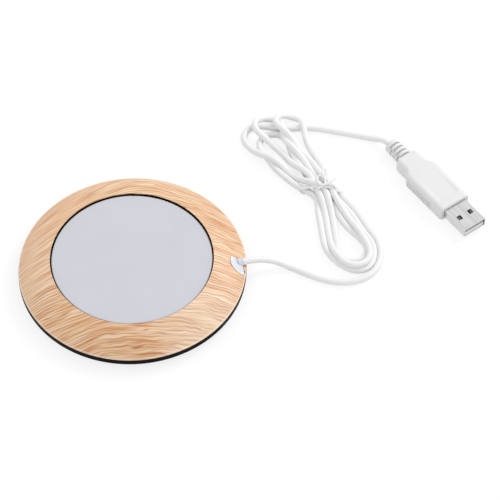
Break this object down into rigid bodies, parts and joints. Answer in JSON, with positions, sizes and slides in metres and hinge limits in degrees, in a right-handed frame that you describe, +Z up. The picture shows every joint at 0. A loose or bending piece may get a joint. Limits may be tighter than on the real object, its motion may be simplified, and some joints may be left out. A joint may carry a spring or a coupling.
{
  "type": "electric mug warmer",
  "caption": "Thin round mug warmer: a pale heating plate in a crowned wood-grain ring with a black edge, and a white USB lead folded into a tied hank.",
  "frame": {"origin": "bottom centre of the disc, on the surface it stands on", "axes": "+Z up out of the heating plate; +X from the disc's centre towards the cord outlet; +Y towards the hank and the plug"},
  "size_m": [0.2064, 0.1395, 0.0134],
  "materials": {
    "painted_board": "fibreboard, turned and painted satin black",
    "wood_film": "printed light wood-grain film, satin",
    "coated_plate": "aluminium with a pale satin coating",
    "polyimide": "amber polyimide film",
    "etched_foil": "etched copper-nickel foil",
    "solder": "bright solder",
    "fuse_can": "plain metal can",
    "foam": "closed-cell silicone foam",
    "black_plastic": "fine moulded texture",
    "steel": "zinc-plated",
    "foot_rubber": "non-slip foam rubber",
    "white_moulding": "satin-gloss moulding",
    "red_insulation": "smooth",
    "black_insulation": "smooth",
    "cord_jacket": "smooth white PVC",
    "tie_plastic": "thin white coated wire",
    "inner_plastic": "unpainted hard moulding",
    "shell_steel": "nickel-plated",
    "contact_gold": "thin gold plating"
  },
  "bodies": {
    "root": {"ring_board": "painted_board", "wood_film": "wood_film", "heating_plate": "coated_plate", "heater_film": "polyimide", "heater_track": "etched_foil", "solder_pads": "solder", "thermal_fuse": "fuse_can", "insulation_pad": "foam", "base_tray": "black_plastic", "base_screws": "steel", "foot_ring": "foot_rubber", "cord_outlet": "white_moulding", "cord_clamp": "black_plastic", "clamp_screws": "steel", "cord_inner_end": "cord_jacket", "red_lead": "red_insulation", "black_lead": "black_insulation", "cord_lead": "cord_jacket", "cord_hank": "cord_jacket", "cord_tail": "cord_jacket", "cord_tie": "tie_plastic", "plug_mould": "white_moulding", "plug_inner_mould": "inner_plastic", "plug_shell": "shell_steel", "plug_tongue": "inner_plastic", "plug_contacts": "contact_gold"}
  },
  "joints": []
}
